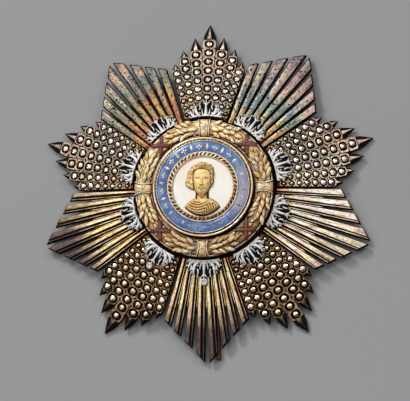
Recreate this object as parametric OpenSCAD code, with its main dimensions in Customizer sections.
// Grand cross badge: a breast star of two superposed five-pointed plates, a laurel wreath and an
// enamelled medallion with a relief bust, worn by a hinged pin on its back.
// Millimetres. The origin is on the star's axis in the plane it rests on, +Z comes out of its face
// and +Y runs to the top beaded point.

/* [Star] */
// Distance from the axis to a beaded point
beaded_tip_r = 44.4; // [42:0.1:46]
// Distance from the axis to a fluted point
fluted_tip_r = 43.6; // [42:0.1:45]
// Number of points on each of the two plates
plate_points = 5; // [5:1:5]
// Slope of the beaded groups, from the rim up to the hub
beaded_slope = 10.2; // [10:0.1:10.6]
// Slope of the fluted groups, from the rim up to the hub
fluted_slope = 7.2; // [6.8:0.1:7.4]
// Height of a fluted point's underside above the rest plane
fluted_tip_z = 0.95; // [0.9:0.05:1.1]

/* [Fluted rays] */
// Rays in a fluted group
flutes = 8; // [6:2:8]
// Angle from one flute to the next
flute_pitch = 4.72; // [4.6:0.02:4.72]
// Share of the pitch taken by a ray where it leaves the wreath
flute_start_share = 0.84; // [0.78:0.02:0.88]
// Share of the pitch taken by a ray at the rim
flute_rim_share = 0.68; // [0.6:0.02:0.76]
// Width of a ray's steep side, seen from above
flute_side = 0.17; // [0.1:0.01:0.2]
// Height of a ray over its underside
flute_h = 1.45; // [1.2:0.05:1.6]
// Thickness of the web that joins the rays
web_t = 0.6; // [0.5:0.05:0.8]
// Radius from which the slots between rays are cut through
slot_r = 30; // [29:0.5:33]
// Half of the angle that the ray ends make at a fluted point
fluted_half_angle = 44; // [42:0.5:46]

/* [Beaded rays] */
// Height of the lattice ridges over the underside
lattice_h = 1.3; // [1.2:0.05:1.5]
// Height of the recess floor under the beads
recess_h = 0.75; // [0.6:0.05:0.9]
// Height of a bead's top over the underside
bead_h = 1.75; // [1.6:0.05:1.9]
// Diameter of the largest beads
bead_d = 1.75; // [1.5:0.05:1.8]
// Width of the dark recess round a bead
recess_gap = 0.14; // [0.1:0.02:0.16]
// Radius inside which no beads are cut
bead_start_r = 22; // [22:0.5:24]

/* [Centre] */
// Outer radius of the laurel wreath
wreath_r = 17.7; // [17.4:0.1:17.8]
// Inner radius of the laurel wreath
wreath_bore_r = 13.2; // [13.1:0.1:13.4]
// Outer radius of the medallion's rim
rim_r = 12.8; // [12.5:0.1:12.9]
// Outer radius of the blue enamel
blue_r = 11.65; // [11.4:0.05:11.9]
// Inner radius of the blue enamel
blue_bore_r = 9.05; // [9:0.05:9.3]
// Radius of the white centre disc
disc_r = 7.7; // [7.5:0.05:7.8]
// Laurel leaves abreast on the wreath
leaf_rows = 3; // [3:1:3]
// Steps of leaves in each eighth of the wreath
leaf_steps = 4; // [3:1:4]

/* [Pin] */
// Radius of the pin's wire
wire_r = 0.55; // [0.45:0.05:0.55]
// Distance of the hinge above the centre
hinge_y = 26; // [24:0.5:28]
// Height of the hinge axis over the rest plane
hinge_z = 1.6; // [1.55:0.05:1.65]
// Place of the pin's free end, to the wearer's left of the axis
pin_end_x = 3.4; // [3:0.1:3.6]
// Distance of the pin's free end below the centre
pin_end_y = 42.9; // [42:0.1:43.5]

/* [Hidden] */
$fn = 64;

gap = 0.1;
wreath_gap = 0.15;
sunk = 0.2;
group_step = 360 / plate_points;

// Hubs of the two plates, one over the other
fluted_hub_r = 15.4;
fluted_hub_z = 4.05;
fluted_hub_t = 0.85;
fluted_web_start_r = 14.8;
beaded_hub_r = 14;
beaded_hub_z = 5.55;
beaded_hub_t = 0.6;
beaded_web_start_r = 13.1;
rivet_r = 1.5;
rivet_head_r = 3;
rivet_head_t = 0.7;
hub_bore_r = rivet_r + gap;

// Rays start under the palmettes
ray_start_r = 17.9;
flute_slit = flute_pitch * (1 - flute_rim_share) / 2;
fluted_half_sector = flute_pitch * flutes / 2 - flute_slit;
// The beaded plate's underside ends a little inside its points, because its edge leans outwards
beaded_plane_r = beaded_tip_r - lattice_h * sin(beaded_slope);

// Beaded rays from the middle one outwards: angle of the outer edge, tip radius, length of the
// pointed end, distance of the first bead from the tip, bead pitch, radius inside which no bead lies
beaded_rays = [
  [2.76, beaded_plane_r, 6.2, 5, 2.4, bead_start_r + 2],
  [7.91, beaded_plane_r - 3.5, 5.6, 4.4, 2.3, bead_start_r],
  [12.73, beaded_plane_r - 6.5, 4.2, 3, 2.05, bead_start_r],
  [16.98, beaded_plane_r - 9.7, 3, 2.6, 2, bead_start_r]
];
last_ray = len(beaded_rays) - 1;
point_middle = 0.52;
point_middle_w = 0.72;

// Palmettes lie on the rays, just outside the wreath
palmette_base_r = 17.6;
palmette_tip_r = 22.9;
palmette_t = 0.5;
palmette_rib_h = 0.45;
palmette_spread = 12.6;
palmette_band_w = 0.8;
palmette_spire_w = 1;
palmette_ball_r = 0.5;
// Leaves of a palmette's right half: root height and angle, tip height and angle, width, bend and
// whether they stand as high as the spire
palmette_leaves = [
  [0.3, 1.9, 3.3, 2.9, 0.62, 0, true],
  [0.3, 4.3, 3.4, 6.6, 0.66, 0.12, true],
  [0.4, 6.2, 3.5, 10.4, 1.05, 0.3, false],
  [0.4, 8.4, 2.3, 12.8, 0.9, 0.25, true]
];
// Scrolls of a palmette's right half: height, angle, radius and radius of the eye
palmette_scrolls = [
  [0.95, 11.3, 0.85, 0.3],
  [2.9, 3.4, 0.66, 0.24]
];

// Wreath: a round body on a flat ring
wreath_z = beaded_hub_z + beaded_hub_t + wreath_gap;
wreath_mid_r = (wreath_r + wreath_bore_r) / 2;
wreath_ring_t = 0.75;
wreath_tube_r = 1.95;
wreath_tube_z = wreath_z + 0.55;
wreath_rim_r = 0.28;
leaf_l = 2.6;
leaf_w = 1.3;
leaf_edge_h = 0.22;
leaf_ridge_h = 0.42;
leaf_root_h = 0.35;
leaf_tilt = 6;
leaf_row_angle = 43;
leaf_fan = 16;
leaf_stagger = 0.35;
clasp_half_angle = 5.2;
cross_half_angle = 8.6;
band_t = 0.5;
band_gap = 0.08;
ribbon_w = 0.75;
ribbon_l = 5.2;
ribbon_angle = 45;

// Levels of the medallion
cup_floor_z = wreath_z + 2.6;
cup_floor_t = 0.8;
cup_wall_t = 0.75;
cup_top_z = wreath_z + 3.75;
enamel_z = cup_floor_z + 0.05;
enamel_gap = 0.05;
blue_top_z = cup_top_z + 0.1;
blue_crown = 0.25;
rope_r = 0.58;
rope_mid_r = (disc_r + blue_bore_r) / 2;
rope_z = cup_top_z - 0.05;
disc_top_z = cup_floor_z + 0.85;
disc_crown = 0.2;
bust_z = disc_top_z + disc_crown + 0.05;
bust_relief = 1.75;
bust_form_h = 2.81;

// Pin, hinge and catch
pin_end_z = wire_r + 0.07;
pin_drop = hinge_z - pin_end_z;
pin_run = norm([pin_end_x, hinge_y + pin_end_y]);
pin_yaw = atan2(pin_end_x, hinge_y + pin_end_y);
pin_pitch = atan2(pin_drop, pin_run);
pin_l = norm([pin_run, pin_drop]);
axle_r = 0.4;
eye_clearance = 0.05;
eye_r = 0.9;
eye_w = 1.5;
ear_t = 0.7;
ear_gap = 0.1;
ear_rise = 1.35;
foot_t = 0.5;
foot_l = 5;
foot_margin = 0.4;
foot_gap = 0.05;
catch_y = 28.5;
catch_w = 2;
catch_pocket = 1.25;
catch_wall = 0.7;
catch_h = 2.45;
catch_lip_t = 0.45;
catch_lip_w = 0.35;
catch_lip_h = 0.22;
catch_lip_z = 0.12;
catch_side_gap = 0.2;
catch_foot_w = 2.7;
catch_foot_l = 3.2;
catch_foot_t = 0.6;

// A child drawn along +Y at the centre turns clockwise by an angle
module turned(angle) rotate([0, 0, -angle]) children();

// A child drawn on a flat plate, radius along +Y, is laid on a slope whose tip is at tip_r and tip_z
module on_slope(tip_r, tip_z, slope)
  translate([0, tip_r, tip_z])
    rotate([-slope, 0, 0])
      translate([0, -tip_r, 0])
        children();

function polar(r, angle) = [r * sin(angle), r * cos(angle)];
function arc(r, from, to, steps) = [for (i = [0:steps]) polar(r, from + (to - from) * i / steps)];

// Radius of the straight envelope of a fluted point at an angle off its axis
function fluted_envelope(angle) =
  fluted_tip_r * sin(fluted_half_angle) / sin(fluted_half_angle + angle - flute_slit);

// A prism with a lower and an upper outline of the same number of points
module prism(low, high, z0, z1) {
  n = len(low);
  polyhedron(
    points = concat([for (p = low) [p[0], p[1], z0]], [for (p = high) [p[0], p[1], z1]]),
    faces = concat(
      [[for (i = [0:n - 1]) i]],
      [[for (i = [0:n - 1]) 2 * n - 1 - i]],
      [for (i = [0:n - 1]) [i, i + n, (i + 1) % n + n, (i + 1) % n]]
    )
  );
}

// Four corners of a ray whose sides are set in by inset, for a ray on the right of the group's middle
function ray_corners(centre, inset) =
  let (
    start = flute_pitch * flute_start_share / 2,
    rim = flute_pitch * flute_rim_share / 2,
    near = fluted_envelope(centre - rim),
    far = fluted_envelope(centre + rim),
    in_start = asin(inset / ray_start_r),
    in_rim = asin(inset / far)
  )
  [
    polar(ray_start_r, centre - start + in_start), polar(ray_start_r, centre + start - in_start),
    polar(far - inset, centre + rim - in_rim), polar(near - inset, centre - rim + in_rim)
  ];

module fluted_ray(centre)
  mirror([centre < 0 ? 1 : 0, 0, 0])
    prism(ray_corners(abs(centre), 0), ray_corners(abs(centre), flute_side), 0, flute_h);

module fluted_group() {
  linear_extrude(web_t)
    polygon(concat(
      arc(fluted_web_start_r, -fluted_half_sector, fluted_half_sector, 6),
      arc(slot_r, fluted_half_sector, -fluted_half_sector, 8)
    ));
  for (i = [0:flutes - 1])
    fluted_ray((i - (flutes - 1) / 2) * flute_pitch);
}

module fluted_star() color([0.78, 0.76, 0.72]) {
  difference() {
    translate([0, 0, fluted_hub_z]) cylinder(r = fluted_hub_r, h = fluted_hub_t);
    translate([0, 0, fluted_hub_z - 1]) cylinder(r = hub_bore_r, h = fluted_hub_t + 2);
  }
  for (i = [0:plate_points - 1])
    turned(group_step * (i + 0.5))
      on_slope(fluted_tip_r, fluted_tip_z, fluted_slope)
        fluted_group();
}

function ray_outer(k) = beaded_rays[k][0];
function ray_inner(k) = k == 0 ? -ray_outer(0) : ray_outer(k - 1);
function ray_centre(k) = (ray_outer(k) + ray_inner(k)) / 2;
function ray_half(k) = (ray_outer(k) - ray_inner(k)) / 2;

// Right half of a beaded group's outline, from the middle tip down to the hub
function beaded_half_outline() = concat(
  [for (k = [0:last_ray])
    let (
      tip = beaded_rays[k][1],
      shoulder = tip - beaded_rays[k][2],
      middle = shoulder + beaded_rays[k][2] * point_middle,
      middle_half = ray_half(k) * point_middle_w
    )
    each concat(
      k == 0 ? [] : [polar(shoulder, ray_inner(k)), polar(middle, ray_centre(k) - middle_half)],
      [polar(tip, ray_centre(k)), polar(middle, ray_centre(k) + middle_half), polar(shoulder, ray_outer(k))]
    )
  ],
  [polar(beaded_web_start_r, ray_outer(last_ray))]
);

function mirrored_back(points) = [for (i = [len(points) - 1:-1:1]) [-points[i][0], points[i][1]]];

function bead_r(k, i) = beaded_rays[k][1] - beaded_rays[k][3] - i * beaded_rays[k][4];
function bead_count(k) = floor((bead_r(k, 0) - beaded_rays[k][5]) / beaded_rays[k][4]) + 1;
function bead_size(k, i) = min(bead_d, 2 * bead_r(k, i) * sin(ray_half(k)) - 2 * recess_gap - 0.2);

module on_beads()
  for (k = [0:last_ray], side = k == 0 ? [1] : [-1, 1], i = [0:bead_count(k) - 1])
    turned(side * ray_centre(k))
      translate([0, bead_r(k, i), recess_h]) {
        $bead = bead_size(k, i);
        children();
      }

module beaded_group() {
  outline = beaded_half_outline();
  difference() {
    linear_extrude(lattice_h) polygon(concat(outline, mirrored_back(outline)));
    translate([0, 0, web_t]) cylinder(r = ray_start_r, h = lattice_h);
    on_beads() cylinder(d = $bead + 2 * recess_gap, h = lattice_h);
  }
  on_beads()
    translate([0, 0, -sunk])
      cylinder(d1 = $bead + 0.08, d2 = $bead * 0.5, h = bead_h - recess_h + sunk);
}

module beaded_star() color([0.72, 0.7, 0.66]) {
  difference() {
    translate([0, 0, beaded_hub_z]) cylinder(r = beaded_hub_r, h = beaded_hub_t);
    translate([0, 0, beaded_hub_z - 1]) cylinder(r = hub_bore_r, h = beaded_hub_t + 2);
  }
  for (i = [0:plate_points - 1])
    turned(group_step * i)
      on_slope(beaded_plane_r, 0, beaded_slope)
        beaded_group();
}

// Outline of a curved leaf from a to b, w wide at most, bowed sideways by bend
function leaf_outline(a, b, w, bend = 0, steps = 5) =
  let (
    along = b - a,
    side = [-along[1], along[0]] / norm(along),
    middle = function (t) a + along * t + side * bend * 4 * t * (1 - t),
    half = function (t) w / 2 * pow(sin(180 * pow(t, 0.85)), 0.8)
  )
  concat(
    [for (i = [0:steps]) middle(i / steps) - side * half(i / steps)],
    [for (i = [1:steps - 1]) middle(1 - i / steps) + side * half(1 - i / steps)]
  );

module leaf_plate(a, b, w, bend, h) linear_extrude(h) polygon(leaf_outline(a, b, w, bend));

module palmette_half() {
  for (leaf = palmette_leaves)
    leaf_plate(
      polar(palmette_base_r + leaf[0], leaf[1]), polar(palmette_base_r + leaf[2], leaf[3]),
      leaf[4], leaf[5], palmette_t + (leaf[6] ? palmette_rib_h : 0)
    );
  difference() {
    for (scroll = palmette_scrolls)
      translate(polar(palmette_base_r + scroll[0], scroll[1]))
        cylinder(r = scroll[2], h = palmette_t + palmette_rib_h);
    for (scroll = palmette_scrolls)
      translate([0, 0, -1])
        translate(polar(palmette_base_r + scroll[0], scroll[1])) cylinder(r = scroll[3], h = 3);
  }
}

module palmette(i) color([0.86, 0.85, 0.82]) {
  beaded = i % 2 == 0;
  turned(i * group_step / 2)
    on_slope(beaded ? beaded_plane_r : fluted_tip_r, beaded ? 0 : fluted_tip_z,
             beaded ? beaded_slope : fluted_slope)
      translate([0, 0, (beaded ? lattice_h : flute_h) + gap]) {
        linear_extrude(palmette_t)
          polygon(concat(
            arc(palmette_base_r, -palmette_spread, palmette_spread, 8),
            arc(palmette_base_r + palmette_band_w, palmette_spread, -palmette_spread, 8)
          ));
        leaf_plate(
          [0, palmette_base_r + sunk], [0, palmette_tip_r], palmette_spire_w, 0,
          palmette_t + palmette_rib_h
        );
        translate([0, palmette_tip_r - palmette_ball_r, 0])
          cylinder(r = palmette_ball_r, h = palmette_t + palmette_rib_h);
        palmette_half();
        mirror([1, 0, 0]) palmette_half();
      }
}

// A laurel leaf along +X with a raised midrib, its root sunk in the surface below it
module laurel_leaf() {
  w = leaf_w / 2;
  l = leaf_l;
  outline = [[0, -w * 0.35], [l * 0.35, -w], [l * 0.75, -w * 0.72], [l, 0],
             [l * 0.75, w * 0.72], [l * 0.35, w], [0, w * 0.35]];
  n = len(outline);
  ridge = [[l * 0.15, 0], [l * 0.75, 0]];
  polyhedron(
    points = concat(
      [for (p = outline) [p[0], p[1], -leaf_root_h]],
      [for (p = outline) [p[0], p[1], leaf_edge_h]],
      [for (p = ridge) [p[0], p[1], leaf_ridge_h]]
    ),
    faces = concat(
      [[for (i = [0:n - 1]) i]],
      [for (i = [0:n - 1]) [i, i + n, (i + 1) % n + n, (i + 1) % n]],
      [[n, 2 * n, n + 1], [n + 1, 2 * n, 2 * n + 1, n + 2], [n + 2, 2 * n + 1, n + 3],
       [n + 3, 2 * n + 1, n + 4], [n + 4, 2 * n + 1, 2 * n, n + 5], [n + 5, 2 * n, n + 6],
       [n + 6, 2 * n, n]]
    )
  );
}

// Leaves of one eighth of the wreath, from a band clasp towards the ribbon cross beside it
module laurel_eighth() {
  from = clasp_half_angle + 1;
  to = 45 - cross_half_angle - 2 * asin(leaf_l / 2 / wreath_mid_r);
  step = (to - from) / (leaf_steps - 1 + leaf_stagger);
  for (i = [0:leaf_steps - 1], row = [0:leaf_rows - 1]) {
    side = row - (leaf_rows - 1) / 2;
    turned(from + (i + (side == 0 ? leaf_stagger : 0)) * step)
      translate([0, wreath_mid_r, wreath_tube_z])
        rotate([-side * leaf_row_angle, 0, 0])
          translate([0, 0, wreath_tube_r - 0.05])
            rotate([0, -leaf_tilt, side * leaf_fan])
              laurel_leaf();
  }
}

module wreath_tube(grow) {
  rotate_extrude()
    translate([wreath_mid_r, wreath_tube_z - wreath_z])
      circle(r = wreath_tube_r + grow);
}

module laurel_wreath() color([0.83, 0.66, 0.33]) {
  translate([0, 0, wreath_z]) {
    intersection() {
      wreath_tube(0);
      cylinder(r = wreath_r, h = 2 * wreath_tube_r + 1);
    }
    rotate_extrude()
      translate([wreath_bore_r, 0]) square([wreath_r - wreath_bore_r, wreath_ring_t]);
    for (r = [wreath_bore_r + wreath_rim_r, wreath_r - wreath_rim_r])
      rotate_extrude() translate([r, wreath_ring_t]) circle(r = wreath_rim_r);
  }
  for (quarter = [0:3], flip = [0, 1])
    turned(quarter * 90)
      mirror([flip, 0, 0])
        laurel_eighth();
}

// The part of a band round the wreath's body that lies over its child's outline, drawn with the
// wreath's middle at the origin and the radius along +Y
module band_over(angle, thickness)
  turned(angle)
    intersection() {
      translate([0, 0, wreath_z]) difference() {
        wreath_tube(band_gap + thickness);
        wreath_tube(band_gap);
      }
      translate([0, wreath_mid_r, wreath_z + wreath_ring_t + 0.35])
        linear_extrude(4) children();
    }

module ribbon_cross(i) color([0.62, 0.1, 0.1])
  band_over(45 + 90 * i, band_t)
    for (side = [-1, 1])
      rotate(side * ribbon_angle)
        square([ribbon_w, ribbon_l], center = true);

module star_outline(r, inner) polygon([
  for (k = [0:9]) polar(k % 2 == 0 ? r : inner, 36 * k)
]);

module band_clasp(i) color([0.88, 0.74, 0.45]) {
  half = wreath_mid_r * tan(clasp_half_angle);
  band_over(90 * i, band_t)
    square([2 * half, 4 * wreath_tube_r], center = true);
  turned(90 * i)
    translate([0, wreath_mid_r, wreath_tube_z + wreath_tube_r + band_gap + band_t - sunk])
      linear_extrude(sunk + 0.3) star_outline(1.05, 0.45);
}

module medallion_cup() color([0.85, 0.68, 0.35]) {
  wall_in = blue_r + enamel_gap;
  seat_in = disc_r + enamel_gap;
  seat_out = blue_bore_r - enamel_gap;
  floor_low = cup_floor_z - cup_floor_t;
  rotate_extrude() polygon([
    [0, floor_low], [rim_r - cup_wall_t, floor_low], [rim_r - cup_wall_t, wreath_z], [rim_r, wreath_z],
    [rim_r, cup_top_z - 0.3], [rim_r - 0.3, cup_top_z + 0.1], [wall_in + 0.2, cup_top_z + 0.1],
    [wall_in, cup_top_z - 0.2], [wall_in, cup_floor_z], [seat_out, cup_floor_z],
    [seat_out, rope_z - rope_r - 0.05], [seat_in, rope_z - rope_r - 0.05], [seat_in, cup_floor_z],
    [0, cup_floor_z]
  ]);
  translate([0, 0, fluted_hub_z - gap - rivet_head_t / 2])
    cylinder(r = rivet_r, h = floor_low - fluted_hub_z + gap + rivet_head_t / 2 + sunk);
  translate([0, 0, fluted_hub_z - gap - rivet_head_t]) {
    translate([0, 0, 0.3]) cylinder(r = rivet_head_r, h = rivet_head_t - 0.3);
    cylinder(r1 = rivet_head_r - 0.5, r2 = rivet_head_r, h = 0.3);
  }
}

// Section of a ring or disc of enamel whose top bulges by crown between r0 and r1
function crowned(r0, r1, z0, z1, crown, middle, steps = 8) = concat(
  [[r1, z0], [r1, z1]],
  [for (i = [1:steps - 1])
    let (r = r1 + (r0 - r1) * i / steps, t = (r - middle) / (r1 - middle))
      [r, z1 + crown * (1 - t * t)]],
  [[r0, z1 + (middle == r0 ? crown : 0)], [r0, z0]]
);

module blue_enamel_ring() color([0.16, 0.25, 0.5])
  rotate_extrude() polygon(crowned(
    blue_bore_r, blue_r, enamel_z, blue_top_z - blue_crown, blue_crown, (blue_bore_r + blue_r) / 2
  ));

module rope_ring() color([0.86, 0.7, 0.38])
  translate([0, 0, rope_z]) rotate_extrude() translate([rope_mid_r, 0]) circle(r = rope_r);

module white_disc() color([0.93, 0.91, 0.9])
  rotate_extrude() polygon(crowned(0, disc_r, enamel_z, disc_top_z, disc_crown, 0));

module ball(x, y, z, r) translate([x, y, z]) sphere(r = r, $fn = 18);

// Relief bust on the disc: head, swept hair, moustache, short beard and a draped chest
module bust_form() {
  // Skull, cheeks and jaw
  hull() { ball(0, 3.9, -0.3, 2.35); ball(0, 2.2, 0.3, 2); ball(0, 0.2, 0.5, 1.15); }
  // Ears
  hull() { ball(-2.25, 2.1, -0.1, 0.4); ball(-2.15, 1.4, -0.1, 0.3); }
  hull() { ball(2.25, 2.1, -0.1, 0.4); ball(2.15, 1.4, -0.1, 0.3); }
  // Hair swept back from the brow, fuller on the viewer's left
  hull() { ball(-1.9, 4.2, -0.2, 1.15); ball(-2.3, 2.9, -0.3, 0.75); ball(-1.1, 5.4, -0.2, 1.05); }
  hull() { ball(1.8, 4.2, -0.2, 1); ball(2.25, 3, -0.3, 0.65); ball(1, 5.3, -0.2, 1); }
  hull() { ball(-1.1, 5.3, 0.5, 0.85); ball(0.9, 5.3, 0.4, 0.8); ball(-0.4, 5, 0.9, 0.75); }
  // Brow, nose, moustache and beard
  hull() { ball(-1.1, 3.15, 1.75, 0.3); ball(1.1, 3.15, 1.75, 0.3); ball(0, 3.2, 1.95, 0.3); }
  hull() { ball(0, 3.1, 2, 0.25); ball(0, 1.85, 2.45, 0.36); }
  hull() { ball(-0.9, 0.95, 1.6, 0.25); ball(0, 1.25, 1.95, 0.3); ball(0.9, 0.95, 1.6, 0.25); }
  hull() { ball(0, 0.25, 1.35, 0.6); ball(0, -0.75, 0.95, 0.45); }
  // Neck and collar
  hull() { ball(-0.8, -0.6, -0.3, 1.1); ball(0.8, -0.6, -0.3, 1.1); ball(0, -3, 0, 1.5); }
  // Shoulders, cut off in a curve below
  for (side = [-1, 1])
    hull() {
      ball(side * 3.5, -3.9, -0.7, 1.25);
      ball(side * 2.7, -5.2, -0.5, 1.4);
      ball(0, -3.2, 0.1, 1.2);
      ball(0, -5.7, 0, 1.6);
    }
  // Folds of the drapery
  hull() { ball(-3.7, -3.5, 0, 0.5); ball(-0.6, -5.2, 1, 0.55); ball(1.2, -6.2, 0.8, 0.5); }
  hull() { ball(-1.7, -2.7, 0.7, 0.42); ball(0.9, -4.2, 1, 0.5); ball(3, -5.4, 0.4, 0.45); }
}

module bust() color([0.84, 0.68, 0.36])
  translate([0, 0, bust_z])
    scale([1, 1, bust_relief / bust_form_h])
      intersection() {
        bust_form();
        translate([-10, -10, 0]) cube([20, 20, 10]);
      }

// A child in the hinge's frame: its axle along X, the pin leaving along -Y
module at_hinge() translate([0, hinge_y, hinge_z]) rotate([0, 0, pin_yaw]) children();

module along_x(r, w) translate([-w / 2, 0, 0]) rotate([0, 90, 0]) cylinder(r = r, h = w);

module hinge_bracket() color([0.7, 0.66, 0.6]) {
  span = eye_w + 2 * ear_gap + 2 * ear_t;
  at_hinge() {
    along_x(axle_r, span);
    for (side = [-1, 1])
      translate([side * (span - ear_t) / 2, 0, 0]) {
        along_x(eye_r, ear_t);
        translate([-ear_t / 2, -eye_r, 0]) cube([ear_t, 2 * eye_r, ear_rise]);
      }
  }
  on_slope(beaded_plane_r, 0, beaded_slope)
    translate([-span / 2 - foot_margin, hinge_y - foot_l / 2 + 0.3, -foot_gap - foot_t])
      cube([span + 2 * foot_margin, foot_l, foot_t]);
}

module pin_catch() color([0.7, 0.66, 0.6]) {
  pin_x = pin_end_x * (hinge_y + catch_y) / (hinge_y + pin_end_y);
  lip_end = pin_x - wire_r - catch_side_gap;
  post_x = lip_end - catch_lip_w - catch_pocket - catch_wall;
  translate([post_x, -catch_y - catch_w / 2, catch_lip_z]) {
    cube([catch_wall, catch_w, catch_h]);
    cube([lip_end - post_x, catch_w, catch_lip_t]);
    translate([lip_end - post_x - catch_lip_w, 0, 0])
      cube([catch_lip_w, catch_w, catch_lip_t + catch_lip_h]);
  }
  turned(180)
    on_slope(fluted_tip_r, fluted_tip_z, fluted_slope)
      translate([-post_x - catch_foot_w + 1, catch_y - catch_foot_l / 2, -foot_gap - catch_foot_t])
        cube([catch_foot_w, catch_foot_l, catch_foot_t]);
}

module brooch_pin() color([0.66, 0.52, 0.3])
  at_hinge()
    difference() {
      union() {
        along_x(eye_r, eye_w);
        rotate([90 + pin_pitch, 0, 0]) {
          translate([0, 0, axle_r + eye_clearance + 0.1])
            cylinder(r = wire_r, h = pin_l - wire_r - axle_r - eye_clearance - 0.1);
          translate([0, 0, pin_l - wire_r]) sphere(r = wire_r);
        }
      }
      along_x(axle_r + eye_clearance, eye_w + 1);
    }

fluted_star();
beaded_star();
palmette(0);  // palmette_1
palmette(1);  // palmette_2
palmette(2);  // palmette_3
palmette(3);  // palmette_4
palmette(4);  // palmette_5
palmette(5);  // palmette_6
palmette(6);  // palmette_7
palmette(7);  // palmette_8
palmette(8);  // palmette_9
palmette(9);  // palmette_10
laurel_wreath();
ribbon_cross(0);  // ribbon_cross_1
ribbon_cross(1);  // ribbon_cross_2
ribbon_cross(2);  // ribbon_cross_3
ribbon_cross(3);  // ribbon_cross_4
band_clasp(0);  // band_clasp_1
band_clasp(1);  // band_clasp_2
band_clasp(2);  // band_clasp_3
band_clasp(3);  // band_clasp_4
medallion_cup();
blue_enamel_ring();
rope_ring();
white_disc();
bust();
hinge_bracket();
pin_catch();
brooch_pin();
